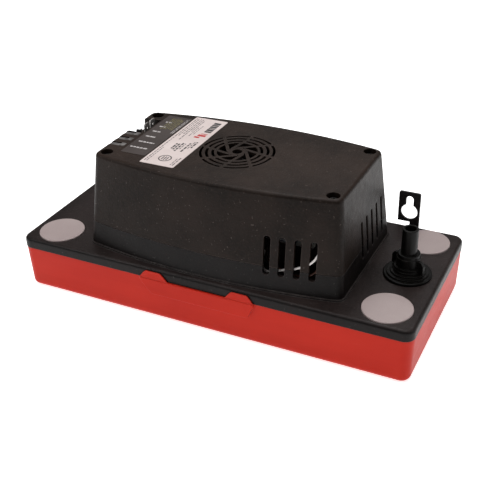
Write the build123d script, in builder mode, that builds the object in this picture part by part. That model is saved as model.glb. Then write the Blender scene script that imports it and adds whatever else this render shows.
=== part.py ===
from build123d import *
import os
from math import cos, sin, radians

# Low-profile condensate pump.
# Frame: origin at the centre of the tank's underside, +X along the length towards
# the discharge end, +Y towards the wall side with the keyhole hangers, +Z up.

os.makedirs("parts", exist_ok=True)

# ------------------------------------------------------------------ sizes (mm)
length, width = 308.0, 133.0      # lid, outside
rim_z = 35.0                      # tank rim, foot of the lid's skirt
deck_z = 43.0                     # top of the lid's deck
deck_t = 3.0                      # deck plate
skirt_t = 1.7
corner_r = 7.5
tank_l, tank_w = 307.6, 132.6     # tank at the rim
tank_draft_x, tank_draft_y = 1.0, 1.2
wall = 3.0                        # tank wall and floor
lip_t, lip_h = 1.2, 4.6           # lip inside the skirt
split_z = 61.0                    # joint between coaming and motor cover
cover_top = 113.5
shell_t = 2.4                     # coaming and cover wall
top_t = 2.6                       # cover top
base_xe, base_wm, base_we = 100.6, 61.0, 51.0   # barrel plan at the deck: end, middle, corner
top_xe, top_wm, top_we = 94.8, 52.0, 42.0      # barrel plan at the top
barrel_r = 6.2
post_x, post_y = 87.0, 36.2       # cover screws
inlet_x, inlet_y = 130.4, 46.0    # drain inlets
inlet_r = 14.0                    # takes a 3/4 inch pipe
cap_r = 17.3
valve_x, valve_y = 130.0, 0.0     # check valve axis
hook_x, hook_z = 110.5, 54.3      # keyhole centre
hook_r, hook_slot = 6.3, 5.7
hook_slot_top = 67.5
rivet_dx, rivet_z = (2.5, 6.6), 38.0
slot_xs = (47.4, 58.0, 68.7, 79.4)
slot_w, slot_z0, slot_z1 = 5.0, 54.8, 83.6
end_ys = (-7.4, 2.9, 13.2, 23.5, 33.8)
end_w, end_z0, end_z1 = 3.7, 51.6, 81.0
catch_y, ear_y = 67.95, 67.5      # outer faces of the catch bars and their ears
pivot_x, pivot_z = -62.0, 36.0    # float arm pin
LOW = (Align.CENTER, Align.CENTER, Align.MIN)

written = []


def save(part, name):
    part.label = name
    export_step(part, f"parts/{name}.step")
    written.append(name)
    print(name, len(part.solids()), round(part.volume, 1))


def barrel(z, inset):
    """Plan of the housing at height z, drawn in by inset."""
    t = (z - deck_z) / (cover_top - deck_z)
    xe = base_xe + (top_xe - base_xe) * t - inset
    wm = base_wm + (top_wm - base_wm) * t - inset
    we = base_we + (top_we - base_we) * t - inset
    with BuildSketch(Plane.XY.offset(z)) as s:
        with BuildLine():
            ThreePointArc((-xe, -we), (0, -wm), (xe, -we))
            Line((xe, -we), (xe, we))
            ThreePointArc((xe, we), (0, wm), (-xe, we))
            Line((-xe, we), (-xe, -we))
        make_face()
        fillet(s.vertices(), barrel_r - inset)
    return s.sketch


# ------------------------------------------------------------------ tank
# catch moulded on the tank: a bar below the rim and two ears that stand outside the skirt
with BuildPart() as catch:
    with BuildSketch(Plane.XZ.offset(65.35)) as bar_sk:
        Polygon((-48.6, 35), (-46.5, 30.5), (-41, 24), (-39, 22.5), (36.8, 22.5), (38.6, 24),
                (40.2, 28), (42.6, 33), (42.4, 35), align=None)
    extrude(amount=catch_y - 65.35)
    fillet(catch.faces().sort_by(Axis.Y)[0].edges(), 0.5)
    with BuildSketch(Plane.XZ.offset(66.8)) as ear_sk:
        Polygon((-49, 34), (-48.6, 35), (-44.2, 40.2), (-42.6, 41.3), (-31.6, 41.3), (-30.0, 40.4),
                (-25.2, 35), (-26, 32), (-47, 32), align=None)
        Polygon((20.2, 34), (20.4, 35), (24.4, 39.8), (25.9, 41.0), (37.0, 41.0), (38.6, 40.0),
                (42.4, 35), (42.4, 33), (22, 32), align=None)
    extrude(amount=ear_y - 66.8)

with BuildPart() as tank:
    with BuildSketch(Plane.XY) as tank_low:
        RectangleRounded(tank_l - 2 * tank_draft_x, tank_w - 2 * tank_draft_y, corner_r - 0.8)
    with BuildSketch(Plane.XY.offset(rim_z)) as tank_high:
        RectangleRounded(tank_l, tank_w, corner_r)
    loft(ruled=True)
    fillet(tank.edges().group_by(Axis.Z)[0], 4.5)
    with BuildSketch(Plane.XY.offset(wall)) as well_low:
        RectangleRounded(tank_l - 2 * tank_draft_x - 2 * wall, tank_w - 2 * tank_draft_y - 2 * wall, corner_r - wall - 0.8)
    with BuildSketch(Plane.XY.offset(rim_z)) as well_high:
        RectangleRounded(tank_l - 2 * wall, tank_w - 2 * wall, corner_r - wall)
    loft(ruled=True, mode=Mode.SUBTRACT)
    with BuildSketch(Plane.XY.offset(rim_z)) as lip_sk:
        RectangleRounded(tank_l - 2 * wall + 2 * lip_t, tank_w - 2 * wall + 2 * lip_t, corner_r - wall + lip_t)
        RectangleRounded(tank_l - 2 * wall, tank_w - 2 * wall, corner_r - wall, mode=Mode.SUBTRACT)
    extrude(amount=lip_h)
    add(catch.part)
    add(mirror(catch.part, about=Plane.XZ))
save(tank.part, "tank")

# ------------------------------------------------------------------ lid
corners = [(sx * inlet_x, sy * inlet_y) for sx in (-1, 1) for sy in (-1, 1)]
posts = [(sx * post_x, sy * post_y) for sx in (-1, 1) for sy in (-1, 1)]


def side_vents():
    """Vent slots of the long sides, as one tool body."""
    with BuildPart() as tool:
        with BuildSketch(Plane.XZ) as v:
            with Locations(*[(x, (slot_z0 + slot_z1) / 2) for x in slot_xs]):
                SlotOverall(slot_z1 - slot_z0, slot_w, rotation=90)
        extrude(amount=80, both=True)
        with Locations((64, 0, 70)):
            Box(60, 70, 60, mode=Mode.SUBTRACT)
    return tool.part


def end_vents():
    """Vent slots of the discharge end."""
    with BuildPart() as tool:
        with BuildSketch(Plane.YZ.offset(88)) as v:
            with Locations(*[(y, (end_z0 + end_z1) / 2) for y in end_ys]):
                SlotOverall(end_z1 - end_z0, end_w, rotation=90)
        extrude(amount=20)
    return tool.part


with BuildPart() as lid:
    with BuildSketch(Plane.XY.offset(rim_z)) as deck_sk:
        RectangleRounded(length, width, corner_r)
    extrude(amount=deck_z - rim_z)
    fillet(lid.edges().group_by(Axis.Z)[-1], 2.5)
    with BuildSketch(Plane.XY.offset(rim_z)) as under_sk:
        RectangleRounded(length - 2 * skirt_t, width - 2 * skirt_t, corner_r - skirt_t)
    extrude(amount=deck_z - deck_t - rim_z, mode=Mode.SUBTRACT)
    # coaming with a foot ledge below and a spigot lip above
    loft([barrel(deck_z - 1.5, -1.0), barrel(deck_z + 1.0, -0.9)], ruled=True)
    loft([barrel(deck_z - 1.5, 0), barrel(split_z - 0.2, 0)], ruled=True)
    loft([barrel(split_z - 1.5, 1.4), barrel(split_z + 2.0, 1.4)], ruled=True)
    loft([barrel(deck_z, shell_t), barrel(split_z + 2.5, shell_t)], ruled=True, mode=Mode.SUBTRACT)
    # posts for the cover screws, bosses for the motor
    with Locations(*[(x, y, deck_z - 1) for x, y in posts]):
        Cylinder(3.2, 104.6 - deck_z + 1, align=LOW)
    with Locations((0, 22, deck_z - 1), (0, -22, deck_z - 1)):
        Cylinder(5.0, 61.0 - deck_z + 1, align=LOW)
    # necks under the inlets and the check valve
    with Locations(*[(x, y, 32.0) for x, y in corners]):
        Cylinder(inlet_r + 1.4, deck_z - 1 - 32.0, align=LOW)
    with Locations((valve_x, valve_y, 34.0)):
        Cylinder(11.6, deck_z - 1 - 34.0, align=LOW)
    # lugs for the float arm pin
    with Locations((pivot_x, 16.6, 31.5), (pivot_x, -16.6, 31.5)):
        Box(8, 3, 9.5, align=LOW)
    # bores
    with Locations(*[(x, y, 30.0) for x, y in corners]):
        Cylinder(inlet_r, 20, align=LOW, mode=Mode.SUBTRACT)
    with Locations(*[(x, y, deck_z - 0.6) for x, y in corners]):
        Cylinder(cap_r + 0.4, 5, align=LOW, mode=Mode.SUBTRACT)
    with Locations((valve_x, valve_y, 30.0)):
        Cylinder(9.3, 20, align=LOW, mode=Mode.SUBTRACT)
    with Locations((0, 0, 36.0)):
        Cylinder(7.0, 10, align=LOW, mode=Mode.SUBTRACT)
    with Locations(*[(x, y, 84.0) for x, y in posts]):
        Cylinder(1.4, 25, align=LOW, mode=Mode.SUBTRACT)
    with Locations((0, 22, 46.0), (0, -22, 46.0)):
        Cylinder(2.05, 30, align=LOW, mode=Mode.SUBTRACT)
    with PolarLocations(18.0, 3, start_angle=60):
        with Locations((0, 0, 38.0)):
            Cylinder(1.5, 4.0, align=LOW, mode=Mode.SUBTRACT)
    with Locations((-61.5, 0, 38.0)):
        Box(11, 29, 8, align=LOW, mode=Mode.SUBTRACT)
    with Locations((pivot_x, 0, pivot_z)):
        Cylinder(1.55, 60, rotation=(90, 0, 0), mode=Mode.SUBTRACT)
    with Locations((-46, 18, 38), (-46, -18, 38)):
        Cylinder(1.3, 10, align=LOW, mode=Mode.SUBTRACT)
    with Locations((-98, -25, 52)):
        Cylinder(6.1, 16, rotation=(0, 90, 0), mode=Mode.SUBTRACT)
    # rivet holes for the hangers, through the rear skirt
    with Locations(*[(s * (hook_x + d), 65.35, rivet_z) for s in (-1, 1) for d in rivet_dx]):
        Cylinder(1.2, 8, rotation=(90, 0, 0), mode=Mode.SUBTRACT)
    add(side_vents(), mode=Mode.SUBTRACT)
    add(end_vents(), mode=Mode.SUBTRACT)
save(lid.part, "lid")

# ------------------------------------------------------------------ motor cover
with BuildPart() as motor_cover:
    loft([barrel(split_z + 0.2, 0), barrel(cover_top, 0)], ruled=True)
    fillet(motor_cover.faces().sort_by(Axis.Z)[-1].edges(), 2.8)
    loft([barrel(split_z, shell_t), barrel(cover_top - top_t, shell_t)], ruled=True, mode=Mode.SUBTRACT)
    loft([barrel(split_z, 1.3), barrel(split_z + 2.3, 1.3)], ruled=True, mode=Mode.SUBTRACT)
    with Locations(*[(x, y, 104.9) for x, y in posts]):
        Cylinder(5.7, cover_top - 1.5 - 104.9, align=LOW)
    with Locations(*[(x, y, 108.5) for x, y in posts]):
        Cylinder(4.7, 10, align=LOW, mode=Mode.SUBTRACT)
    with Locations(*[(x, y, 100) for x, y in posts]):
        Cylinder(2.0, 20, align=LOW, mode=Mode.SUBTRACT)
    # fan grille: broken rings, swirled openings and a hub opening
    with BuildSketch(Plane.XY.offset(cover_top + 1)) as grille_sk:
        Circle(27.5)
        Circle(25.5, mode=Mode.SUBTRACT)
        Circle(23.2)
        Circle(21.1, mode=Mode.SUBTRACT)
        Circle(18.7)
        Circle(16.6, mode=Mode.SUBTRACT)
        Circle(14.7)
        Circle(6.3, mode=Mode.SUBTRACT)
        with PolarLocations(0, 8, start_angle=78.4):
            with Locations((15.2, 6.1)):
                Rectangle(28, 2.3, mode=Mode.SUBTRACT)
        Circle(3.7)
    extrude(amount=-6, mode=Mode.SUBTRACT)
    # pocket with the upright terminals
    with Locations((-85.6, 15.5, 98)):
        Box(15.6, 30, 13.5, align=LOW)
    with Locations((-85.8, 15.5, 97)):
        Box(12.6, 26, 30, align=LOW, mode=Mode.SUBTRACT)
    with Locations((-95, 15.5, 104)):
        Box(10, 26, 30, align=LOW, mode=Mode.SUBTRACT)
    # grooves with the flat terminals
    with Locations(*[(-91, y, 112.0) for y in (-21.0, -10.8, -0.9)]):
        Box(20, 5.4, 10, align=LOW, mode=Mode.SUBTRACT)
    add(side_vents(), mode=Mode.SUBTRACT)
    add(end_vents(), mode=Mode.SUBTRACT)
save(motor_cover.part, "motor_cover")

with BuildPart() as cover_screws:
    with Locations(*[(x, y, 108.5) for x, y in posts]):
        Cylinder(3.5, 2.3, align=LOW)
    fillet(cover_screws.edges().group_by(Axis.Z)[-1], 1.0)
    with Locations(*[(x, y, 109.9) for x, y in posts]):
        Box(3.6, 0.9, 2, align=LOW, mode=Mode.SUBTRACT)
        Box(0.9, 3.6, 2, align=LOW, mode=Mode.SUBTRACT)
    with Locations(*[(x, y, 86.0) for x, y in posts]):
        Cylinder(1.35, 22.5, align=LOW)
save(cover_screws.part, "cover_screws")

# ------------------------------------------------------------------ labels
with BuildPart() as rating_label:
    with BuildSketch(Plane.XY.offset(cover_top)) as rl_sk:
        with Locations((-42.9, 1.2)):
            RectangleRounded(27.2, 85.6, 1.2)
    extrude(amount=0.25)
save(rating_label.part, "rating_label")

with BuildPart() as wiring_label:
    with BuildSketch(Plane.XY.offset(cover_top)) as wl_sk:
        with Locations((-67.9, 3.5)):
            RectangleRounded(20.6, 71.0, 1.0)
    extrude(amount=0.22)
save(wiring_label.part, "wiring_label")

# ------------------------------------------------------------------ terminals
with BuildPart() as terminal_block:
    with Locations((-85.75, 15.5, 98.2)):
        Box(12.1, 25.6, 6.0, align=LOW)
    with Locations((-85.2, 4.6, 104)):
        Box(3.6, 1.6, 10.4, align=LOW)
    with Locations((-85.2, 10.0, 104)):
        Box(4.4, 1.6, 4.5, align=LOW)
    with Locations((-85.2, 19.3, 104)):
        Box(4.4, 1.0, 4.5, align=LOW)
save(terminal_block.part, "terminal_block")

with BuildPart() as upright_terminals:
    for yc, w, top in ((15.2, 6.3, 115.6), (23.4, 6.3, 115.6), (7.3, 2.4, 114.2)):
        with BuildSketch(Plane.YZ.offset(-85.2)) as tab_sk:
            with Locations((yc, (104.2 + top) / 2)):
                Rectangle(w, top - 104.2)
            chamfer(tab_sk.vertices().group_by(Axis.Y)[-1], 0.7)
            if w > 5:
                with Locations((yc, top - 3.6)):
                    Circle(0.95, mode=Mode.SUBTRACT)
        extrude(amount=0.8)
save(upright_terminals.part, "upright_terminals")

with BuildPart() as flat_terminals:
    for yc in (-21.0, -10.8, -0.9):
        with Locations((-87.2, yc, 112.0)):
            Box(11.4, 4.6, 0.7, align=LOW)
        with Locations((-83.0, yc, 112.0)):
            Box(3.6, 4.6, 1.7, align=LOW)
save(flat_terminals.part, "flat_terminals")

with BuildPart() as cord_gland:
    with Locations((-100.6, -25, 52)):
        Cylinder(5.9, 16.8, rotation=(0, 90, 0))
    with Locations((-102.2, -25, 52)):
        Cylinder(7.9, 3.0, rotation=(0, 90, 0))
    with Locations((-95.3, -25, 52)):
        Cylinder(7.6, 2.0, rotation=(0, 90, 0))
    with Locations((-101, -25, 52)):
        Cylinder(3.6, 30, rotation=(0, 90, 0), mode=Mode.SUBTRACT)
    fillet(cord_gland.edges().group_by(Axis.X)[0], 0.8)
save(cord_gland.part, "cord_gland")

# ------------------------------------------------------------------ hangers
with BuildPart() as hanger_right:
    with BuildSketch(Plane.XZ.offset(-66.5)) as hr_sk:
        with Locations((110.3, 58.25)):
            Rectangle(16.6, 24.9)
        fillet(hr_sk.vertices().group_by(Axis.Y)[-1], 1.6)
        with Locations((115.0, 41.4)):
            Rectangle(7.2, 10.6)
        with Locations((hook_x, hook_z)):
            Circle(hook_r, mode=Mode.SUBTRACT)
        with Locations((hook_x, (50.0 + hook_slot_top) / 2)):
            SlotOverall(hook_slot_top - 50.0, hook_slot, rotation=90, mode=Mode.SUBTRACT)
        with Locations(*[(hook_x + d, rivet_z) for d in rivet_dx]):
            Circle(1.2, mode=Mode.SUBTRACT)
    extrude(amount=-1.4)
    with Locations(*[(hook_x + d, 67.9, rivet_z) for d in rivet_dx]):
        Cylinder(1.9, 1.3, rotation=(90, 0, 0), mode=Mode.SUBTRACT)
save(hanger_right.part, "hanger_right")

with BuildPart() as hanger_left:
    add(mirror(hanger_right.part, about=Plane.YZ))
save(hanger_left.part, "hanger_left")

with BuildPart() as hanger_rivets:
    with Locations(*[(s * (hook_x + d), 66.25, rivet_z) for s in (-1, 1) for d in rivet_dx]):
        Cylinder(1.15, 2.8, rotation=(90, 0, 0))
    with Locations(*[(s * (hook_x + d), 67.6, rivet_z) for s in (-1, 1) for d in rivet_dx]):
        Cylinder(1.8, 0.6, rotation=(90, 0, 0))
save(hanger_rivets.part, "hanger_rivets")


# ------------------------------------------------------------------ inlet plugs
def plug(x, y):
    with BuildPart() as p:
        with Locations((x, y, deck_z - 0.6)):
            Cylinder(cap_r, 1.7, align=LOW)
        fillet(p.edges().group_by(Axis.Z)[-1], 0.7)
        with Locations((x, y, 34.0)):
            Cylinder(inlet_r - 0.3, deck_z - 0.6 - 34.0, align=LOW)
            Cylinder(inlet_r - 1.9, deck_z - 1.2 - 34.0, align=LOW, mode=Mode.SUBTRACT)
    return p.part


save(plug(-inlet_x, -inlet_y), "inlet_plug_front_left")
save(plug(inlet_x, -inlet_y), "inlet_plug_front_right")
save(plug(inlet_x, inlet_y), "inlet_plug_back_right")

# ------------------------------------------------------------------ check valve
with BuildPart() as check_valve_body:
    with Locations((valve_x, valve_y, deck_z)):
        Cylinder(17.0, 2.0, align=LOW)
    fillet(check_valve_body.edges().group_by(Axis.Z)[-1], 0.8)
    with Locations((valve_x, valve_y, deck_z)):
        Cylinder(14.6, 3.2, align=LOW)
        Cylinder(12.2, 4.4, align=LOW)
        Cylinder(10.2, 6.0, align=LOW)
    with Locations((valve_x, valve_y, 48.4)):
        Cylinder(9.8, 2.8, align=LOW)
    with Locations((valve_x, valve_y, 51.0)):
        Cylinder(8.3, 7.0, align=LOW)
    with Locations((valve_x, valve_y, 57.6)):
        Cylinder(7.9, 3.2, align=LOW)
    fillet(check_valve_body.edges().group_by(Axis.Z)[-1], 0.7)
    with Locations((valve_x, valve_y, 60.0)):
        Cylinder(5.6, 19.5, align=LOW)
    fillet(check_valve_body.edges().group_by(Axis.Z)[-1], 0.4)
    # finger wings
    with BuildSketch(Plane(origin=(valve_x, valve_y, 0), x_dir=(cos(radians(-23)), sin(radians(-23)), 0),
                           z_dir=(-sin(radians(-23)), cos(radians(-23)), 0)).offset(-1.1)) as wing_sk:
        Polygon((7, -47.5), (13.6, -47.5), (13.6, -54.5), (11.6, -57.0), (7, -57.0), align=None)
        Polygon((-7, -47.5), (-13.6, -47.5), (-13.6, -54.5), (-11.6, -57.0), (-7, -57.0), align=None)
    extrude(amount=2.2)
    # spigot, O-ring groove and hose nozzle
    with Locations((valve_x, valve_y, 34.6)):
        Cylinder(9.0, deck_z + 0.5 - 34.6, align=LOW)
    with BuildSketch(Plane.XY.offset(37.0)) as groove_sk:
        with Locations((valve_x, valve_y)):
            Circle(12)
            Circle(7.2, mode=Mode.SUBTRACT)
    extrude(amount=2.0, mode=Mode.SUBTRACT)
    with Locations((valve_x, valve_y, 24.0)):
        Cylinder(5.0, 11.0, align=LOW)
    with Locations((valve_x, valve_y, 20.0)):
        Cylinder(3.2, 70, align=LOW, mode=Mode.SUBTRACT)
    with Locations((valve_x, valve_y, 47.0)):
        Cylinder(5.4, 12.2, align=LOW, mode=Mode.SUBTRACT)
    with Locations((valve_x, valve_y, 59.0)):
        Cylinder(4.0, 25, align=LOW, mode=Mode.SUBTRACT)
save(check_valve_body.part, "check_valve_body")

with BuildPart() as valve_ball:
    with Locations((valve_x, valve_y, 50.07)):
        Sphere(4.4)
save(valve_ball.part, "valve_ball")

with BuildPart() as valve_cage:
    with Locations((valve_x, valve_y, 57.5)):
        Box(10.4, 1.6, 1.5, align=LOW)
        Box(1.6, 10.4, 1.5, align=LOW)
save(valve_cage.part, "valve_cage")

with BuildPart() as valve_o_ring:
    with Locations((valve_x, valve_y, 38.0)):
        Torus(8.2, 0.95)
save(valve_o_ring.part, "valve_o_ring")

# ------------------------------------------------------------------ motor
stack_z0, stack_z1 = 65.0, 87.0
with BuildPart() as stator_stack:
    with BuildSketch(Plane.XY.offset(stack_z0)) as st_sk:
        with Locations((15, 0)):
            RectangleRounded(84, 56, 3)
        Circle(15.0, mode=Mode.SUBTRACT)
        with Locations((31, 0)):
            Rectangle(22, 32, mode=Mode.SUBTRACT)
        with Locations((0, 22), (0, -22)):
            Circle(2.2, mode=Mode.SUBTRACT)
        with Locations((-10.5, 10.5), (10.5, -10.5)):
            Circle(2.0, mode=Mode.SUBTRACT)
    extrude(amount=stack_z1 - stack_z0)
save(stator_stack.part, "stator_stack")

with BuildPart() as coil_bobbin:
    with BuildSketch(Plane.XZ.offset(-15.6)) as cb_sk:
        with Locations((49.6, 76)):
            Rectangle(17.6, 25.0)
            Rectangle(15.6, 23.0, mode=Mode.SUBTRACT)
    extrude(amount=31.2)
    with BuildSketch(Plane.XZ.offset(-15.6)) as cb_f1:
        with Locations((49.6, 76)):
            RectangleRounded(34.0, 40.0, 3)
            Rectangle(15.6, 23.0, mode=Mode.SUBTRACT)
    extrude(amount=1.4)
    with BuildSketch(Plane.XZ.offset(14.2)) as cb_f2:
        with Locations((49.6, 76)):
            RectangleRounded(34.0, 40.0, 3)
            Rectangle(15.6, 23.0, mode=Mode.SUBTRACT)
    extrude(amount=1.4)
save(coil_bobbin.part, "coil_bobbin")

with BuildPart() as motor_coil:
    with BuildSketch(Plane.XZ.offset(-14.0)) as mc_sk:
        with Locations((49.6, 76)):
            RectangleRounded(31.6, 37.6, 5)
            Rectangle(18.0, 25.4, mode=Mode.SUBTRACT)
    extrude(amount=28.0)
save(motor_coil.part, "motor_coil")


def bracket(z0, z_hub, hub_h):
    with BuildPart() as b:
        with BuildSketch(Plane.XY.offset(z0)) as bs:
            SlotOverall(60, 18, rotation=90)
            with Locations((0, 22), (0, -22)):
                Circle(2.2, mode=Mode.SUBTRACT)
        extrude(amount=2.4)
        with Locations((0, 0, z_hub)):
            Cylinder(8.6, hub_h, align=LOW)
        with Locations((0, 0, z_hub - 5)):
            Cylinder(6.05, hub_h + 20, align=LOW, mode=Mode.SUBTRACT)
    return b.part


# the brackets stand off the stack on spacers, so the rotor clears them
with BuildPart() as lower_bracket:
    add(bracket(61.0, 57.0, 6.4))
    with Locations((0, 22, 63.4), (0, -22, 63.4)):
        Cylinder(4.5, stack_z0 - 63.4, align=LOW)
        Cylinder(2.2, stack_z0 - 63.4, align=LOW, mode=Mode.SUBTRACT)
save(lower_bracket.part, "lower_bracket")

with BuildPart() as upper_bracket:
    add(bracket(88.8, 88.8, 6.4))
    with Locations((0, 22, stack_z1), (0, -22, stack_z1)):
        Cylinder(4.5, 88.8 - stack_z1, align=LOW)
        Cylinder(2.2, 88.8 - stack_z1, align=LOW, mode=Mode.SUBTRACT)
save(upper_bracket.part, "upper_bracket")

with BuildPart() as upper_bush:
    with Locations((0, 0, 88.8)):
        Cylinder(6.0, 6.4, align=LOW)
        Cylinder(3.04, 6.4, align=LOW, mode=Mode.SUBTRACT)
save(upper_bush.part, "upper_bush")

with BuildPart() as lower_bush:
    with Locations((0, 0, 57.0)):
        Cylinder(6.0, 6.4, align=LOW)
        Cylinder(3.04, 6.4, align=LOW, mode=Mode.SUBTRACT)
save(lower_bush.part, "lower_bush")

with BuildPart() as motor_screws:
    with Locations((0, 22, 47.0), (0, -22, 47.0)):
        Cylinder(1.95, 91.2 - 47.0, align=LOW)
    with Locations((0, 22, 91.2), (0, -22, 91.2)):
        Cylinder(4.0, 2.8, align=LOW)
        Box(5.0, 1.0, 2.8, align=LOW)
    with Locations((0, 22, 93.0), (0, -22, 93.0)):
        Box(5.5, 1.0, 2, align=LOW, mode=Mode.SUBTRACT)
save(motor_screws.part, "motor_screws")

with BuildPart() as motor_shaft:
    with Locations((0, 0, 9.0)):
        Cylinder(3.0, 96.0, align=LOW)
save(motor_shaft.part, "motor_shaft")

with BuildPart() as rotor_core:
    with Locations((0, 0, stack_z0)):
        Cylinder(14.5, stack_z1 - stack_z0, align=LOW)
        Cylinder(3.02, stack_z1 - stack_z0, align=LOW, mode=Mode.SUBTRACT)
save(rotor_core.part, "rotor_core")

with BuildPart() as cooling_fan:
    with Locations((0, 0, 96.0)):
        Cylinder(7.0, 9.0, align=LOW)
    for i in range(6):
        with BuildSketch(Plane(origin=(0, 0, 100.2),
                               x_dir=(cos(radians(60 * i)), sin(radians(60 * i)), 0),
                               z_dir=(-sin(radians(60 * i)) * cos(radians(38)), cos(radians(60 * i)) * cos(radians(38)),
                                      sin(radians(38)))).offset(-0.6)) as blade_sk:
            with Locations((16, 0)):
                RectangleRounded(20.6, 11.5, 3.0)
        extrude(amount=1.2)
    with Locations((0, 0, 90.0)):
        Cylinder(3.02, 20, align=LOW, mode=Mode.SUBTRACT)
save(cooling_fan.part, "cooling_fan")

# ------------------------------------------------------------------ pump end
with BuildPart() as pump_volute:
    with Locations((0, 0, 37.0)):
        Cylinder(23.0, 3.0, align=LOW)
    with Locations((0, 0, 17.0)):
        Cylinder(11.0, 21.0, align=LOW)
    with Locations((0, 0, 7.0)):
        Cylinder(24.0, 11.5, align=LOW)
    with Locations((25.0, 0, 12.5)):
        Cylinder(5.0, 16, rotation=(0, 90, 0))
    with Locations((0, 0, 6.0)):
        Cylinder(19.5, 10.2, align=LOW, mode=Mode.SUBTRACT)
    with Locations((0, 0, 5.0)):
        Cylinder(3.6, 40, align=LOW, mode=Mode.SUBTRACT)
    with Locations((0, 0, 20.0)):
        Cylinder(8.6, 30, align=LOW, mode=Mode.SUBTRACT)
    with Locations((27.0, 0, 12.5)):
        Cylinder(3.4, 20, rotation=(0, 90, 0), mode=Mode.SUBTRACT)
    with Locations((0, 11, 28), (0, -11, 28)):
        Cylinder(2.0, 8, rotation=(90, 0, 0), mode=Mode.SUBTRACT)
    with PolarLocations(18.0, 3, start_angle=60):
        with Locations((0, 0, 36.0)):
            Cylinder(1.7, 5, align=LOW, mode=Mode.SUBTRACT)
    with PolarLocations(21.8, 4, start_angle=45):
        with Locations((0, 0, 6.5)):
            Cylinder(0.9, 7.0, align=LOW, mode=Mode.SUBTRACT)
save(pump_volute.part, "pump_volute")

with BuildPart() as inlet_plate:
    with Locations((0, 0, 5.0)):
        Cylinder(24.0, 2.0, align=LOW)
        Cylinder(8.0, 2.0, align=LOW, mode=Mode.SUBTRACT)
    with PolarLocations(14.5, 8, start_angle=22.5):
        with Locations((0, 0, 4.0)):
            Cylinder(1.3, 1.2, align=LOW)
    with PolarLocations(21.8, 4, start_angle=45):
        with Locations((0, 0, 4.0)):
            Cylinder(0.95, 4, align=LOW, mode=Mode.SUBTRACT)
save(inlet_plate.part, "inlet_plate")

with BuildPart() as volute_screws:
    with PolarLocations(18.0, 3, start_angle=60):
        with Locations((0, 0, 34.8)):
            Cylinder(3.0, 2.2, align=LOW)
        with Locations((0, 0, 36.9)):
            Cylinder(1.4, 5.0, align=LOW)
    with PolarLocations(21.8, 4, start_angle=45):
        with Locations((0, 0, 3.9)):
            Cylinder(1.8, 1.1, align=LOW)
        with Locations((0, 0, 4.9)):
            Cylinder(0.85, 7.5, align=LOW)
save(volute_screws.part, "volute_screws")

with BuildPart() as impeller:
    with Locations((0, 0, 8.4)):
        Cylinder(5.2, 6.4, align=LOW)
    with Locations((0, 0, 13.6)):
        Cylinder(17.2, 1.2, align=LOW)
    with PolarLocations(10.6, 6):
        with Locations((0, 0, 8.6)):
            Box(12.4, 1.3, 5.4, align=LOW)
    with Locations((0, 0, 9.0)):
        Cylinder(3.02, 20, align=LOW, mode=Mode.SUBTRACT)
save(impeller.part, "impeller")

hose_path = Wire([
    Edge.make_line((27.0, 0, 12.5), (118.0, 0, 12.5)),
    Edge.make_three_point_arc((118.0, 0, 12.5), (118.0 + 12 * sin(radians(45)), 0, 24.5 - 12 * cos(radians(45))),
                              (130.0, 0, 24.5)),
    Edge.make_line((130.0, 0, 24.5), (130.0, 0, 33.6)),
])
with BuildPart() as discharge_hose:
    with BuildSketch(Plane.YZ.offset(27.0)) as hose_sk:
        with Locations((0, 12.5)):
            Circle(6.7)
            Circle(5.1, mode=Mode.SUBTRACT)
    sweep(path=hose_path)
save(discharge_hose.part, "discharge_hose")

with BuildPart() as hose_clamps:
    with Locations((30.0, 0, 12.5)):
        Cylinder(7.5, 5, rotation=(0, 90, 0))
        Cylinder(6.75, 5, rotation=(0, 90, 0), mode=Mode.SUBTRACT)
    with Locations((30.0, 0, 20.6)):
        Box(5, 6, 2.2)
    with Locations((130.0, 0, 30.0)):
        Cylinder(7.5, 5)
        Cylinder(6.75, 5, mode=Mode.SUBTRACT)
    with Locations((138.1, 0, 30.0)):
        Box(2.2, 6, 5)
save(hose_clamps.part, "hose_clamps")

# ------------------------------------------------------------------ float and switches
with BuildPart() as float_arm:
    # hub on the pin, finger and crossbar up through the deck, arm down to the float
    with Locations((pivot_x, 0, pivot_z)):
        Cylinder(3.6, 29.4, rotation=(90, 0, 0))
    with Locations((pivot_x, 0, 37.0)):
        Box(3.4, 8.0, 11.0, align=LOW)
    with Locations((pivot_x, 0, 46.0)):
        Box(3.4, 26.0, 8.0, align=LOW)
    with BuildSketch(Plane.XZ.offset(-4.0)) as arm_sk:
        Polygon((-60.5, 34.5), (-63.5, 38.6), (-84.0, 27.0), (-100.0, 25.2), (-100.0, 21.6), (-83.0, 22.6),
                align=None)
    extrude(amount=8.0)
    with Locations((pivot_x, 0, pivot_z)):
        Cylinder(1.55, 40, rotation=(90, 0, 0), mode=Mode.SUBTRACT)
save(float_arm.part, "float_arm")

with BuildPart() as float_body:
    with BuildSketch(Plane.XY.offset(6.0)) as fb_sk:
        with Locations((-110.0, 0)):
            RectangleRounded(50.0, 44.0, 6.0)
    extrude(amount=15.6)
    fillet(float_body.edges().group_by(Axis.Z)[0], 2.5)
save(float_body.part, "float")

with BuildPart() as float_pin:
    with Locations((pivot_x, 0, pivot_z)):
        Cylinder(1.5, 38.0, rotation=(90, 0, 0))
save(float_pin.part, "float_pin")

with BuildPart() as switch_bracket:
    with Locations((-46, 0, deck_z)):
        Box(14, 44, 1.6, align=LOW)
    with Locations((-46, 0, deck_z)):
        Box(14, 2.0, 32, align=LOW)
    with Locations((-46, 0, 53), (-46, 0, 70)):
        Cylinder(1.45, 10, rotation=(90, 0, 0), mode=Mode.SUBTRACT)
    with Locations((-46, 18, 42), (-46, -18, 42)):
        Cylinder(1.5, 5, align=LOW, mode=Mode.SUBTRACT)
save(switch_bracket.part, "switch_bracket")


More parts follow.
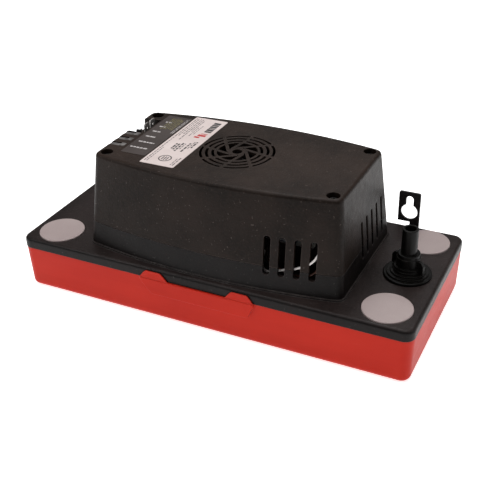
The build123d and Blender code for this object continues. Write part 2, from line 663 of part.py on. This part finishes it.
def microswitch(side):
    """Snap-action switch lying against one face of the bracket; side is +1 or -1."""
    with BuildPart() as m:
        with Locations((-46, side * 6.3, 46.4)):
            Box(15.8, 10.2, 27.8, align=LOW)
        with Locations((-46, side * 6.3, 53), (-46, side * 6.3, 70)):
            Cylinder(1.45, 20, rotation=(90, 0, 0), mode=Mode.SUBTRACT)
        with Locations((-53.0, side * 6.3, 50.0)):
            Cylinder(1.9, 10, rotation=(0, 90, 0), mode=Mode.SUBTRACT)
        with Locations(*[(-36.0, side * 6.3, z) for z in (50, 60, 70)]):
            Box(5.0, 4.8, 0.8)
    return m.part


save(microswitch(1), "safety_switch")
save(microswitch(-1), "pump_switch")

with BuildPart() as switch_screws:
    with Locations((-46, 0, 53), (-46, 0, 70)):
        Cylinder(1.4, 24.6, rotation=(90, 0, 0))
    for s in (-1, 1):
        with Locations((-46, s * 12.5, 53), (-46, s * 12.5, 70)):
            Cylinder(2.7, 1.8, rotation=(90, 0, 0))
        with Locations((-46, s * 18, deck_z + 1.6)):
            Cylinder(2.6, 1.8, align=LOW)
        with Locations((-46, s * 18, 40.2)):
            Cylinder(1.25, 5, align=LOW)
save(switch_screws.part, "switch_screws")


def plunger(side):
    with BuildPart() as p:
        with Locations((-55.6, side * 6.3, 50.0)):
            Cylinder(1.6, 8.6, rotation=(0, 90, 0))
        fillet(p.edges().group_by(Axis.X)[0], 0.8)
    return p.part


save(plunger(1), "safety_plunger")
save(plunger(-1), "pump_plunger")

print(len(written), "nodes")
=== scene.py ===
import math
import random

import bmesh
import bpy
from mathutils import Matrix, Vector


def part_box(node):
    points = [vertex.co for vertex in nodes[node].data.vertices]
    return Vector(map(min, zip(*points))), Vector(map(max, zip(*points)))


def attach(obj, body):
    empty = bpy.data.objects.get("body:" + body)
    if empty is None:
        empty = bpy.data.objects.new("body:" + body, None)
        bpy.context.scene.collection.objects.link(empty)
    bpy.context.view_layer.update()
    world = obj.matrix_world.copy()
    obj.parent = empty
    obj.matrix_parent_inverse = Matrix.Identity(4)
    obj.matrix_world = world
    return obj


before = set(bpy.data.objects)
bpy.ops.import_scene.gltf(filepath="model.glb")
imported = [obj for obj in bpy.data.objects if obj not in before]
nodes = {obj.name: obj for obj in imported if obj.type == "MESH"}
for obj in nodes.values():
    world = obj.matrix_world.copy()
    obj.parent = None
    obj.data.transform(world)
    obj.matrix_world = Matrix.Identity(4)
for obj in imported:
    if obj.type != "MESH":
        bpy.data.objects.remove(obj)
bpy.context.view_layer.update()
scene = bpy.context.scene
MM = 0.001


# ---------------------------------------------------------------- node helpers
class Mat:
    """A small wrapper that keeps the material's node wiring short."""

    def __init__(self, name):
        self.m = bpy.data.materials.new(name)
        self.m.use_nodes = True
        self.t = self.m.node_tree
        self.t.nodes.clear()
        self.out = self.t.nodes.new("ShaderNodeOutputMaterial")
        self.b = self.t.nodes.new("ShaderNodeBsdfPrincipled")
        self.link(self.b.outputs[0], self.out.inputs[0])
        self.co = self.t.nodes.new("ShaderNodeTexCoord").outputs["Object"]

    def link(self, a, b):
        self.t.links.new(a, b)

    def new(self, kind, **props):
        n = self.t.nodes.new(kind)
        for k, v in props.items():
            setattr(n, k, v)
        return n

    def noise(self, scale, detail=4.0, rough=0.55, stretch=None, offset=None, distortion=0.0):
        n = self.new("ShaderNodeTexNoise")
        n.inputs["Scale"].default_value = scale
        n.inputs["Detail"].default_value = detail
        n.inputs["Roughness"].default_value = rough
        n.inputs["Distortion"].default_value = distortion
        src = self.co
        if stretch or offset:
            mp = self.new("ShaderNodeMapping")
            mp.inputs["Scale"].default_value = stretch or (1, 1, 1)
            mp.inputs["Location"].default_value = offset or (0, 0, 0)
            self.link(src, mp.inputs["Vector"])
            src = mp.outputs[0]
        self.link(src, n.inputs["Vector"])
        return n.outputs["Fac"]

    def voronoi(self, scale, feature="F1", out="Distance"):
        n = self.new("ShaderNodeTexVoronoi", feature=feature)
        n.inputs["Scale"].default_value = scale
        self.link(self.co, n.inputs["Vector"])
        return n.outputs[out]

    def wave(self, scale, direction="Z", distortion=0.0, profile="SIN"):
        n = self.new("ShaderNodeTexWave", wave_type="BANDS", bands_direction=direction, wave_profile=profile)
        n.inputs["Scale"].default_value = scale
        n.inputs["Distortion"].default_value = distortion
        self.link(self.co, n.inputs["Vector"])
        return n.outputs["Fac"]

    def remap(self, src, a, b, c=0.0, d=1.0):
        n = self.new("ShaderNodeMapRange")
        n.clamp = True
        n.inputs["From Min"].default_value = a
        n.inputs["From Max"].default_value = b
        n.inputs["To Min"].default_value = c
        n.inputs["To Max"].default_value = d
        self.link(src, n.inputs["Value"])
        return n.outputs[0]

    def math(self, op, a, b):
        n = self.new("ShaderNodeMath", operation=op)
        for i, v in enumerate((a, b)):
            if isinstance(v, (int, float)):
                n.inputs[i].default_value = v
            else:
                self.link(v, n.inputs[i])
        return n.outputs[0]

    def mix(self, fac, a, b):
        n = self.new("ShaderNodeMix", data_type="RGBA")
        if isinstance(fac, (int, float)):
            n.inputs[0].default_value = fac
        else:
            self.link(fac, n.inputs[0])
        for sock, v in ((n.inputs[6], a), (n.inputs[7], b)):
            if isinstance(v, (tuple, list)):
                sock.default_value = (*v, 1.0)
            else:
                self.link(v, sock)
        return n.outputs[2]

    def bevel(self, radius, samples=6):
        n = self.new("ShaderNodeBevel")
        n.samples = samples
        n.inputs["Radius"].default_value = radius
        return n.outputs[0]

    def bump(self, height, distance, strength=1.0, normal=None):
        n = self.new("ShaderNodeBump")
        n.inputs["Strength"].default_value = strength
        n.inputs["Distance"].default_value = distance
        self.link(height, n.inputs["Height"])
        if normal is not None:
            self.link(normal, n.inputs["Normal"])
        return n.outputs[0]

    def edge(self, bevel_out, gain=6.0):
        """0 on faces, up to 1 where the rounded normal leaves the true one: a mask for lighter edges, both rubbed wear
        and painted edge highlight.
        """
        g = self.new("ShaderNodeNewGeometry")
        d = self.new("ShaderNodeVectorMath", operation="DOT_PRODUCT")
        self.link(bevel_out, d.inputs[0])
        self.link(g.outputs["Normal"], d.inputs[1])
        return self.remap(d.outputs["Value"], 1.0, 1.0 - 1.0 / gain)

    def set(self, **kw):
        for k, v in kw.items():
            s = self.b.inputs[k.replace("_", " ")]
            if isinstance(v, tuple) and len(v) == 3:
                v = (*v, 1.0)
            s.default_value = v
        return self

    def col(self, src):
        self.link(src, self.b.inputs["Base Color"])

    def rough(self, src):
        self.link(src, self.b.inputs["Roughness"])

    def nrm(self, src):
        self.link(src, self.b.inputs["Normal"])


def moulded(name, base, light, worn_and_highlight, rough=(0.38, 0.52), grain=1500.0, grain_depth=0.00005, peel=160.0,
            peel_depth=0.00008, edge_r=0.0005, spec=0.4, speck=0.0, top_light_and_dust=0.0):
    """Injection-moulded plastic: spark-eroded grain, flow mottling, edges lighter from rubbed wear plus painted edge
    highlight, and optionally up-facing faces painted lighter as top light.
    """
    m = Mat(name)
    blotch = m.noise(22.0, 5.0, 0.6)
    fine = m.noise(grain, 3.0, 0.65)
    mid = m.noise(peel, 3.0, 0.5)
    c = m.mix(m.remap(blotch, 0.32, 0.68), base, light)
    c = m.mix(m.remap(fine, 0.46, 0.64, 0.0, 0.60), c, light)
    bev = m.bevel(edge_r)
    if top_light_and_dust:
        # faces that look up are painted lighter by this factor: painted top light, mottled by a noisy dust film
        up = m.new("ShaderNodeSeparateXYZ")
        m.link(m.new("ShaderNodeNewGeometry").outputs["Normal"], up.inputs[0])
        film = m.noise(60.0, 6.0, 0.7, offset=(7, 3, 5))
        lit = m.new("ShaderNodeMix", data_type="RGBA", blend_type="MULTIPLY")
        lit.inputs[0].default_value = 1.0
        m.link(c, lit.inputs[6])
        lit.inputs[7].default_value = (top_light_and_dust, top_light_and_dust, top_light_and_dust, 1.0)
        c = m.mix(m.math("MULTIPLY", m.remap(up.outputs["Z"], 0.55, 0.95), m.remap(film, 0.25, 0.6, 0.7, 1.0)), c, lit.outputs[2])
    if speck:
        dust = m.noise(620.0, 2.0, 0.5, offset=(3, 1, 2))
        c = m.mix(m.remap(dust, 0.68, 0.76, 0.0, speck), c, worn_and_highlight)
    # edges mix toward the worn_and_highlight colour: partly rubbed wear, partly painted edge highlight
    c = m.mix(m.math("MULTIPLY", m.edge(bev, 5.0), m.remap(mid, 0.3, 0.7, 0.12, 0.5)), c, worn_and_highlight)
    m.col(c)
    m.rough(m.remap(m.math("ADD", m.math("MULTIPLY", fine, 0.5), m.math("MULTIPLY", mid, 0.5)), 0.3, 0.7, *rough))
    n = m.bump(mid, peel_depth, 1.0, bev)
    m.nrm(m.bump(fine, grain_depth, 1.0, n))
    m.set(Specular_IOR_Level=spec)
    return m.m


def metal(name, base, light, rough=(0.18, 0.34), stretch=(1, 1, 14), scale=260.0, depth=0.00002, edge_r=0.0002, metallic=1.0):
    m = Mat(name)
    streak = m.noise(scale, 4.0, 0.6, stretch=stretch)
    spots = m.noise(90.0, 4.0, 0.6, offset=(5, 2, 1))
    m.col(m.mix(m.remap(m.math("ADD", m.math("MULTIPLY", streak, 0.6), m.math("MULTIPLY", spots, 0.4)), 0.3, 0.7), base, light))
    m.rough(m.remap(streak, 0.3, 0.7, *rough))
    m.nrm(m.bump(streak, depth, 1.0, m.bevel(edge_r, 4)))
    m.set(Metallic=metallic)
    return m.m


# ---------------------------------------------------------------- materials
# black_cover and black_lid paint their up-facing faces several times lighter than their side faces (the
# top_light_and_dust factor): painted top light with some dust mottling
black_cover = moulded("black_cover_plastic", (0.0042, 0.0025, 0.0017), (0.0172, 0.0108, 0.0082), (0.15, 0.12, 0.108),
                      rough=(0.36, 0.50), grain=620.0, grain_depth=0.00022, peel=190.0, peel_depth=0.00016, edge_r=0.0008, speck=0.45, spec=0.11, top_light_and_dust=1.85)
black_lid = moulded("black_lid_plastic", (0.0022, 0.0015, 0.0014), (0.0070, 0.0050, 0.0047), (0.16, 0.145, 0.138),
                    rough=(0.32, 0.46), grain=620.0, grain_depth=0.00016, peel=170.0, peel_depth=0.00013, edge_r=0.0007, speck=0.25, spec=0.13, top_light_and_dust=4.2)
black_valve = moulded("black_valve_plastic", (0.0018, 0.0015, 0.0013), (0.0038, 0.0032, 0.0028), (0.05, 0.045, 0.04),
                      rough=(0.26, 0.40), grain=1700.0, grain_depth=0.00003, peel=240.0, peel_depth=0.00006, spec=0.12)
black_block = moulded("black_block_plastic", (0.006, 0.005, 0.005), (0.010, 0.009, 0.009), (0.08, 0.075, 0.07),
                      rough=(0.35, 0.5), grain=1500.0, grain_depth=0.00004, spec=0.25)
grey_cap = moulded("grey_cap_plastic", (0.335, 0.265, 0.258), (0.40, 0.325, 0.315), (0.60, 0.53, 0.52),
                   rough=(0.36, 0.48), grain=1200.0, grain_depth=0.00004, peel=140.0, peel_depth=0.00006)
nylon = moulded("white_nylon", (0.58, 0.56, 0.52), (0.68, 0.66, 0.62), (0.8, 0.78, 0.75), rough=(0.35, 0.5),
                grain=1400.0, grain_depth=0.00003)
foam = moulded("float_foam", (0.62, 0.60, 0.56), (0.76, 0.74, 0.70), (0.82, 0.8, 0.78), rough=(0.6, 0.8),
               grain=700.0, grain_depth=0.00015)
grey_volute = moulded("grey_volute_plastic", (0.07, 0.07, 0.073), (0.1, 0.1, 0.104), (0.2, 0.2, 0.2),
                      rough=(0.4, 0.55))
rubber = moulded("hose_rubber", (0.011, 0.011, 0.011), (0.02, 0.02, 0.02), (0.05, 0.05, 0.05), rough=(0.5, 0.7),
                 grain=900.0, grain_depth=0.00006)


def red_tank():
    m = Mat("red_tank_plastic")
    blotch = m.noise(14.0, 5.0, 0.6)
    flow = m.noise(30.0, 4.0, 0.6, stretch=(0.35, 0.35, 2.4), offset=(1, 4, 2))
    fine = m.noise(1100.0, 3.0, 0.6)
    mid = m.noise(150.0, 3.0, 0.5)
    c = m.mix(m.remap(m.math("ADD", m.math("MULTIPLY", blotch, 0.5), m.math("MULTIPLY", flow, 0.5)), 0.35, 0.65),
              (0.415, 0.0115, 0.0030), (0.490, 0.0175, 0.0055))
    bev = m.bevel(0.0008)
    # lighter red along the edges: painted edge highlight
    c = m.mix(m.math("MULTIPLY", m.edge(bev, 5.0), 0.35), c, (0.72, 0.10, 0.07))
    scuff = m.noise(70.0, 6.0, 0.75, stretch=(1, 1, 5), offset=(2, 7, 3))
    c = m.mix(m.remap(scuff, 0.62, 0.80, 0.0, 0.16), c, (0.58, 0.17, 0.13))
    m.col(c)
    m.rough(m.remap(m.math("ADD", m.math("MULTIPLY", fine, 0.4), m.math("MULTIPLY", scuff, 0.6)), 0.3, 0.7, 0.34, 0.50))
    m.nrm(m.bump(fine, 0.00003, 1.0, m.bump(mid, 0.00007, 1.0, bev)))
    m.set(Subsurface_Weight=0.08, Subsurface_Scale=0.004, Specular_IOR_Level=0.12)
    m.b.inputs["Subsurface Radius"].default_value = (1.0, 0.25, 0.15)
    return m.m


red = red_tank()

# two copies of one tin plate: the lighter, part-metallic one on the upright terminals is painted bright to stand in for
# their glints; the darker one goes on the flat terminals
tin = metal("tin_plate", (0.30, 0.28, 0.27), (0.66, 0.63, 0.61), rough=(0.26, 0.44), metallic=0.75)
tin_darker = metal("darker_tin_plate", (0.07, 0.065, 0.062), (0.34, 0.32, 0.31), rough=(0.28, 0.46), metallic=0.7)
zinc = metal("zinc_plate", (0.45, 0.45, 0.44), (0.62, 0.62, 0.60), rough=(0.28, 0.45))
black_oxide = metal("black_oxide", (0.020, 0.019, 0.018), (0.05, 0.048, 0.046), rough=(0.30, 0.45), stretch=(1, 1, 1))
ground = metal("ground_steel", (0.40, 0.40, 0.41), (0.56, 0.56, 0.57), rough=(0.12, 0.25), stretch=(1, 1, 10))
cast_alu = metal("cast_aluminium", (0.42, 0.42, 0.43), (0.56, 0.56, 0.57), rough=(0.38, 0.55), stretch=(1, 1, 1),
                 depth=0.00006)
bronze = metal("sintered_bronze", (0.30, 0.19, 0.08), (0.42, 0.28, 0.12), rough=(0.4, 0.6), stretch=(1, 1, 1))


def painted_steel():
    m = Mat("painted_hanger_steel")
    n = m.noise(500.0, 3.0, 0.6)
    bev = m.bevel(0.0003, 4)
    c = m.mix(m.remap(n, 0.3, 0.7), (0.013, 0.012, 0.012), (0.022, 0.02, 0.02))
    c = m.mix(m.math("MULTIPLY", m.edge(bev, 4.0), 0.5), c, (0.16, 0.155, 0.15))
    m.col(c)
    m.rough(m.remap(n, 0.3, 0.7, 0.32, 0.48))
    m.nrm(m.bump(n, 0.00003, 1.0, bev))
    return m.m


def laminations():
    m = Mat("stator_laminations")
    w = m.wave(320.0, "Z")
    n = m.noise(240.0, 4.0, 0.6)
    m.col(m.mix(m.remap(m.math("ADD", m.math("MULTIPLY", w, 0.6), m.math("MULTIPLY", n, 0.4)), 0.2, 0.8),
                (0.12, 0.12, 0.13), (0.33, 0.33, 0.34)))
    m.rough(m.remap(n, 0.3, 0.7, 0.35, 0.55))
    m.nrm(m.bump(w, 0.00012))
    m.set(Metallic=0.9)
    return m.m


def winding():
    m = Mat("copper_winding")
    w = m.wave(330.0, "Y", 0.6)
    n = m.noise(160.0, 4.0, 0.6)
    m.col(m.mix(m.remap(m.math("ADD", m.math("MULTIPLY", w, 0.6), m.math("MULTIPLY", n, 0.4)), 0.2, 0.8),
                (0.22, 0.07, 0.022), (0.62, 0.25, 0.09)))
    m.rough(m.remap(w, 0.2, 0.8, 0.45, 0.25))
    m.nrm(m.bump(w, 0.0002))
    m.set(Metallic=0.85)
    return m.m


def label_film(name, base, light, rough=(0.28, 0.38)):
    m = Mat(name)
    n = m.noise(45.0, 5.0, 0.65)
    f = m.noise(900.0, 2.0, 0.5)
    m.col(m.mix(m.remap(n, 0.3, 0.7), base, light))
    m.rough(m.remap(n, 0.3, 0.7, *rough))
    m.nrm(m.bump(f, 0.00001, 1.0, m.bump(n, 0.00006, 1.0, m.bevel(0.0002, 4))))
    return m.m


def ink(name, base, light):
    m = Mat(name)
    n = m.noise(1400.0, 3.0, 0.7)
    m.col(m.mix(m.remap(n, 0.35, 0.65), base, light))
    m.rough(m.remap(n, 0.3, 0.7, 0.35, 0.5))
    m.nrm(m.bump(n, 0.000008))
    return m.m


white_film = label_film("white_label_film", (0.66, 0.560, 0.535), (0.76, 0.655, 0.63))
dark_film = label_film("dark_label_film", (0.031, 0.020, 0.017), (0.046, 0.031, 0.027), rough=(0.38, 0.50))
ink_dark = ink("ink_dark_grey", (0.020, 0.017, 0.017), (0.05, 0.045, 0.045))
ink_grey = ink("ink_mid_grey", (0.10, 0.085, 0.085), (0.20, 0.175, 0.175))
ink_red = ink("ink_red", (0.42, 0.02, 0.018), (0.55, 0.04, 0.035))
ink_white = ink("ink_white", (0.42, 0.39, 0.38), (0.60, 0.57, 0.56))
ink_olive = ink("ink_olive", (0.11, 0.095, 0.035), (0.19, 0.165, 0.07))

hanger_paint = painted_steel()
lam = laminations()
copper = winding()

USE = {
    "tank": red, "lid": black_lid, "motor_cover": black_cover, "cover_screws": black_oxide,
    "rating_label": white_film, "wiring_label": dark_film, "terminal_block": black_block,
    "upright_terminals": tin, "flat_terminals": tin_darker, "cord_gland": black_block,
    "hanger_left": hanger_paint, "hanger_right": hanger_paint, "hanger_rivets": zinc,
    "inlet_plug_front_left": grey_cap, "inlet_plug_front_right": grey_cap, "inlet_plug_back_right": grey_cap,
    "check_valve_body": black_valve, "valve_ball": nylon, "valve_cage": nylon, "valve_o_ring": rubber,
    "stator_stack": lam, "rotor_core": lam, "coil_bobbin": nylon, "motor_coil": copper,
    "lower_bracket": cast_alu, "upper_bracket": cast_alu, "upper_bush": bronze, "lower_bush": bronze,
    "motor_screws": zinc, "motor_shaft": ground, "cooling_fan": black_block, "impeller": nylon,
    "pump_volute": grey_volute, "inlet_plate": grey_volute, "volute_screws": zinc, "discharge_hose": rubber,
    "hose_clamps": zinc, "float_arm": nylon, "float": foam, "float_pin": ground, "switch_bracket": zinc,
    "safety_switch": black_block, "pump_switch": black_block, "switch_screws": zinc,
    "safety_plunger": nylon, "pump_plunger": nylon,
}
for name, ob in nodes.items():
    ob.data.materials.clear()
    ob.data.materials.append(USE[name])
    for p in ob.data.polygons:
        p.material_index = 0


# ---------------------------------------------------------------- mesh helpers
def finish_mesh(name, bm, mat, body, smooth=False):
    me = bpy.data.meshes.new(name)
    bm.normal_update()
    bm.to_mesh(me)
    bm.free()
    ob = bpy.data.objects.new(name, me)
    scene.collection.objects.link(ob)
    me.materials.append(mat)
    if smooth:
        for p in me.polygons:
            p.use_smooth = True
    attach(ob, body)
    return ob


def bar(bm, x0, x1, y0, y1, z0, z1):
    """A low pad of ink or film with a slightly drawn-in top."""
    i = min(x1 - x0, y1 - y0) * 0.08
    low = [bm.verts.new(c) for c in ((x0, y0, z0), (x1, y0, z0), (x1, y1, z0), (x0, y1, z0))]
    top = [bm.verts.new(c) for c in ((x0 + i, y0 + i, z1), (x1 - i, y0 + i, z1), (x1 - i, y1 - i, z1), (x0 + i, y1 - i, z1))]
    bm.faces.new(top)
    bm.faces.new(low[::-1])
    for k in range(4):
        bm.faces.new((low[k], low[(k + 1) % 4], top[(k + 1) % 4], top[k]))


def ring(bm, cx, cy, r0, r1, z0, z1, n=40):
    rows = []
    for r, z in ((r0, z0), (r1, z0), (r1, z1), (r0, z1)):
        rows.append([bm.verts.new((cx + r * math.cos(2 * math.pi * k / n), cy + r * math.sin(2 * math.pi * k / n), z)) for k in range(n)])
    for a, b in ((0, 1), (1, 2), (2, 3), (3, 0)):
        for k in range(n):
            j = (k + 1) % n
            bm.faces.new((rows[a][k], rows[b][k], rows[b][j], rows[a][j]))
    bmesh.ops.recalc_face_normals(bm, faces=bm.faces[:])


# ---------------------------------------------------------------- label printing (generic bars, no lettering)
lab_lo, lab_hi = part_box("rating_label")
zt = lab_hi.z
rnd = random.Random(7)


def text_row(bm, x, y0, y1, w, words=(1.6, 4.6), gap=0.9):
    """A line of print across the label, as bars of uneven length along Y. All in mm."""
    y = y0
    while y < y1 - 1.0:
        l = min(rnd.uniform(*words), y1 - y)
        bar(bm, (x - w / 2) * MM, (x + w / 2) * MM, y * MM, (y + l) * MM, zt + 0.00001, zt + 0.00006)
        y += l + gap


bm = bmesh.new()
for x, y0, y1, w in (
        (-54.4, -38, 42, 0.8), (-52.6, -38, -14, 0.7), (-52.6, 8, 41, 0.7),
        (-50.6, 12, 41, 0.8), (-48.8, 2, 41, 0.8), (-47.0, 18, 40, 0.7),
        (-40.2, -13, -3, 0.8), (-35.2, -10, 2, 0.8), (-31.6, -38.5, -24, 0.9), (-33.4, -38.5, -27, 0.7),
        (-45.2, 10, 28, 0.6), (-43.4, 14, 30, 0.6)):
    text_row(bm, x, y0, y1, w)
finish_mesh("rating_label_print", bm, ink_grey, "head")

bm = bmesh.new()
# a bold block of generic bars where a name would stand
y = 20.5
for l in (2.4, 3.4, 1.7, 3.0, 2.4, 3.2):
    bar(bm, -38.0 * MM, -32.4 * MM, y * MM, (y + l) * MM, zt + 0.00001, zt + 0.00006)
    y += l + 0.55
for x, y0, y1, w in ((-46.4, -14, -3, 1.4), (-44.4, -15, -4.5, 1.3), (-42.2, -17, -2.5, 1.4), (-37.2, -16.5, -1, 1.3), (-33.4, -8, 2.5, 1.3)):
    text_row(bm, x, y0, y1, w)
ring(bm, -42.2 * MM, -30.0 * MM, 4.1 * MM, 4.9 * MM, zt + 0.00001, zt + 0.00006)
bar(bm, -44.4 * MM, -43.6 * MM, -32.5 * MM, -27.5 * MM, zt + 0.00001, zt + 0.00006)
bar(bm, -42.6 * MM, -41.8 * MM, -32.9 * MM, -27.1 * MM, zt + 0.00001, zt + 0.00006)
bar(bm, -40.8 * MM, -40.0 * MM, -32.5 * MM, -27.5 * MM, zt + 0.00001, zt + 0.00006)
finish_mesh("rating_label_bold_print", bm, ink_dark, "head")

bm = bmesh.new()
bar(bm, -39.6 * MM, -33.0 * MM, 12.6 * MM, 15.6 * MM, zt + 0.00001, zt + 0.00006)
bar(bm, -40.8 * MM, -36.6 * MM, 9.2 * MM, 11.6 * MM, zt + 0.00001, zt + 0.00006)
bar(bm, -38.4 * MM, -33.0 * MM, 16.6 * MM, 17.6 * MM, zt + 0.00001, zt + 0.00006)
finish_mesh("rating_label_red_bars", bm, ink_red, "head")

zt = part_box("wiring_label")[1].z
bm = bmesh.new()
for y, x0, x1 in ((-21.6, -76.2, -61.8), (-11.6, -75.2, -62.0), (-1.6, -75.2, -66.6), (8.2, -75.0, -68.4), (17.6, -74.6, -69.4), (26.6, -74.2, -69.0)):
    x = x0
    while x < x1 - 0.8:
        l = min(rnd.uniform(1.6, 4.4), x1 - x)
        bar(bm, x * MM, (x + l) * MM, (y - 0.85) * MM, (y + 0.85) * MM, zt + 0.00001, zt + 0.00006)
        x += l + 0.6
for x in (-60.2, -58.9):
    text_row(bm, x, 9, 36, 0.45, words=(3, 8))
finish_mesh("wiring_label_white_print", bm, ink_white, "head")
bm = bmesh.new()
for x in (-71.6, -69.8, -68.0, -66.2, -64.4, -62.8):
    text_row(bm, x, 13 + rnd.uniform(0, 3), 37 + rnd.uniform(-3, 1), 0.9)
finish_mesh("wiring_label_olive_print", bm, ink_olive, "head")


# ---------------------------------------------------------------- lead wires behind the vents
def wire(name, pts, radius, mat, n=10, step=6):
    """A swept round lead through the points, in mm."""
    P = [Vector(p) * MM for p in pts]
    P = [P[0] * 2 - P[1]] + P + [P[-1] * 2 - P[-2]]
    path = []
    for a, b, c, d in zip(P, P[1:], P[2:], P[3:]):
        for i in range(step):
            t = i / step
            path.append(0.5 * ((2 * b) + (c - a) * t + (2 * a - 5 * b + 4 * c - d) * t * t + (3 * b - a - 3 * c + d) * t ** 3))
    path.append(P[-2])
    bm = bmesh.new()
    rings, side = [], Vector((0, 0, 1))
    for i, p in enumerate(path):
        d = (path[min(i + 1, len(path) - 1)] - path[max(i - 1, 0)]).normalized()
        u = side - d * side.dot(d)
        u = u.normalized() if u.length > 1e-6 else d.orthogonal().normalized()
        v = d.cross(u)
        side = u
        rings.append([bm.verts.new(p + (u * math.cos(2 * math.pi * k / n) + v * math.sin(2 * math.pi * k / n)) * radius * MM) for k in range(n)])
    for a, b in zip(rings, rings[1:]):
        for k in range(n):
            bm.faces.new((a[k], b[k], b[(k + 1) % n], a[(k + 1) % n]))
    bm.faces.new(rings[0][::-1])
    bm.faces.new(rings[-1])
    return finish_mesh(name, bm, mat, "head", smooth=True)


wire_white = moulded("lead_insulation_white", (0.60, 0.55, 0.53), (0.74, 0.70, 0.68), (0.8, 0.78, 0.76), rough=(0.25, 0.4),
                     grain=900.0, grain_depth=0.00002)
wire_dark = moulded("lead_insulation_brown", (0.045, 0.014, 0.008), (0.07, 0.024, 0.014), (0.2, 0.1, 0.08), rough=(0.3, 0.45),
                    grain=900.0, grain_depth=0.00002)
wire("lead_front", [(34, -30, 56), (38, -42, 52), (46.3, -51, 53.6), (57.2, -51, 57.4), (68.3, -51, 61.6), (77.5, -50.5, 67.4),
                    (82, -47.5, 74), (83, -42, 84), (80, -36, 94), (66, -31, 99), (40, -31, 101)], 0.85, wire_white)
wire("lead_brown", [(36, -30, 60), (44, -44, 58.6), (60, -49, 54.6), (76, -49, 56.5), (83, -44, 66), (84, -38, 84), (70, -32, 97)],
     0.85, wire_dark)

# ---------------------------------------------------------------- camera
def place_camera():
    x, y, z = (0.89929, 0.43646, -0.02796), (-0.20267, 0.47253, 0.85769), (0.38756, -0.76565, 0.51340)
    cam = bpy.data.cameras.new("camera")
    cam.sensor_width = 36.0
    cam.lens = 65.4947
    cam.clip_start = 0.01
    ob = bpy.data.objects.new("camera", cam)
    scene.collection.objects.link(ob)
    ob.matrix_world = Matrix(((x[0], y[0], z[0], 0.26092), (x[1], y[1], z[1], -0.51186), (x[2], y[2], z[2], 0.38131), (0, 0, 0, 1)))
    scene.camera = ob


place_camera()


# ---------------------------------------------------------------- floor and light
def floor():
    bm = bmesh.new()
    bmesh.ops.create_grid(bm, x_segments=8, y_segments=8, size=6.0)
    me = bpy.data.meshes.new("floor")
    bm.to_mesh(me)
    bm.free()
    ob = bpy.data.objects.new("floor", me)
    scene.collection.objects.link(ob)
    ob.location.z = -0.0002
    m = Mat("floor_paper")
    n = m.noise(6.0, 3.0, 0.5)
    m.col(m.mix(m.remap(n, 0.3, 0.7), (0.90, 0.90, 0.90), (0.92, 0.92, 0.92)))
    m.rough(m.remap(n, 0.3, 0.7, 0.85, 0.95))
    m.set(Specular_IOR_Level=0.1, Emission_Color=(1.0, 1.0, 1.0), Emission_Strength=0.75)
    me.materials.append(m.m)


def area(name, loc, target, size, energy, color=(1, 1, 1), size_y=None):
    l = bpy.data.lights.new(name, "AREA")
    l.energy = energy
    l.size = size
    l.color = color
    if size_y:
        l.shape = "RECTANGLE"
        l.size_y = size_y
    ob = bpy.data.objects.new(name, l)
    scene.collection.objects.link(ob)
    ob.location = loc
    d = Vector(target) - Vector(loc)
    ob.rotation_euler = d.to_track_quat("-Z", "Y").to_euler()
    return ob


floor()
area("key", (-0.85, -0.80, 1.00), (0, 0, 0.04), 0.30, 4.6)
area("top", (-0.25, 0.80, 1.30), (0, 0, 0.05), 0.7, 6.6)
area("edge_light", (-0.60, -0.14, 1.45), (0, 0, 0.08), 0.14, 1.5)
area("right_side", (1.20, 0.35, 0.55), (0.1, 0, 0.03), 0.5, 2.4)
area("floor_wash", (0.0, 0.1, 3.0), (0, 0, 0), 2.4, 46.0)

world = bpy.data.worlds.new("studio")
world.use_nodes = True
world.node_tree.nodes["Background"].inputs["Color"].default_value = (1, 1, 1, 1)
world.node_tree.nodes["Background"].inputs["Strength"].default_value = 0.17
scene.world = world
scene.view_settings.view_transform = "Standard"
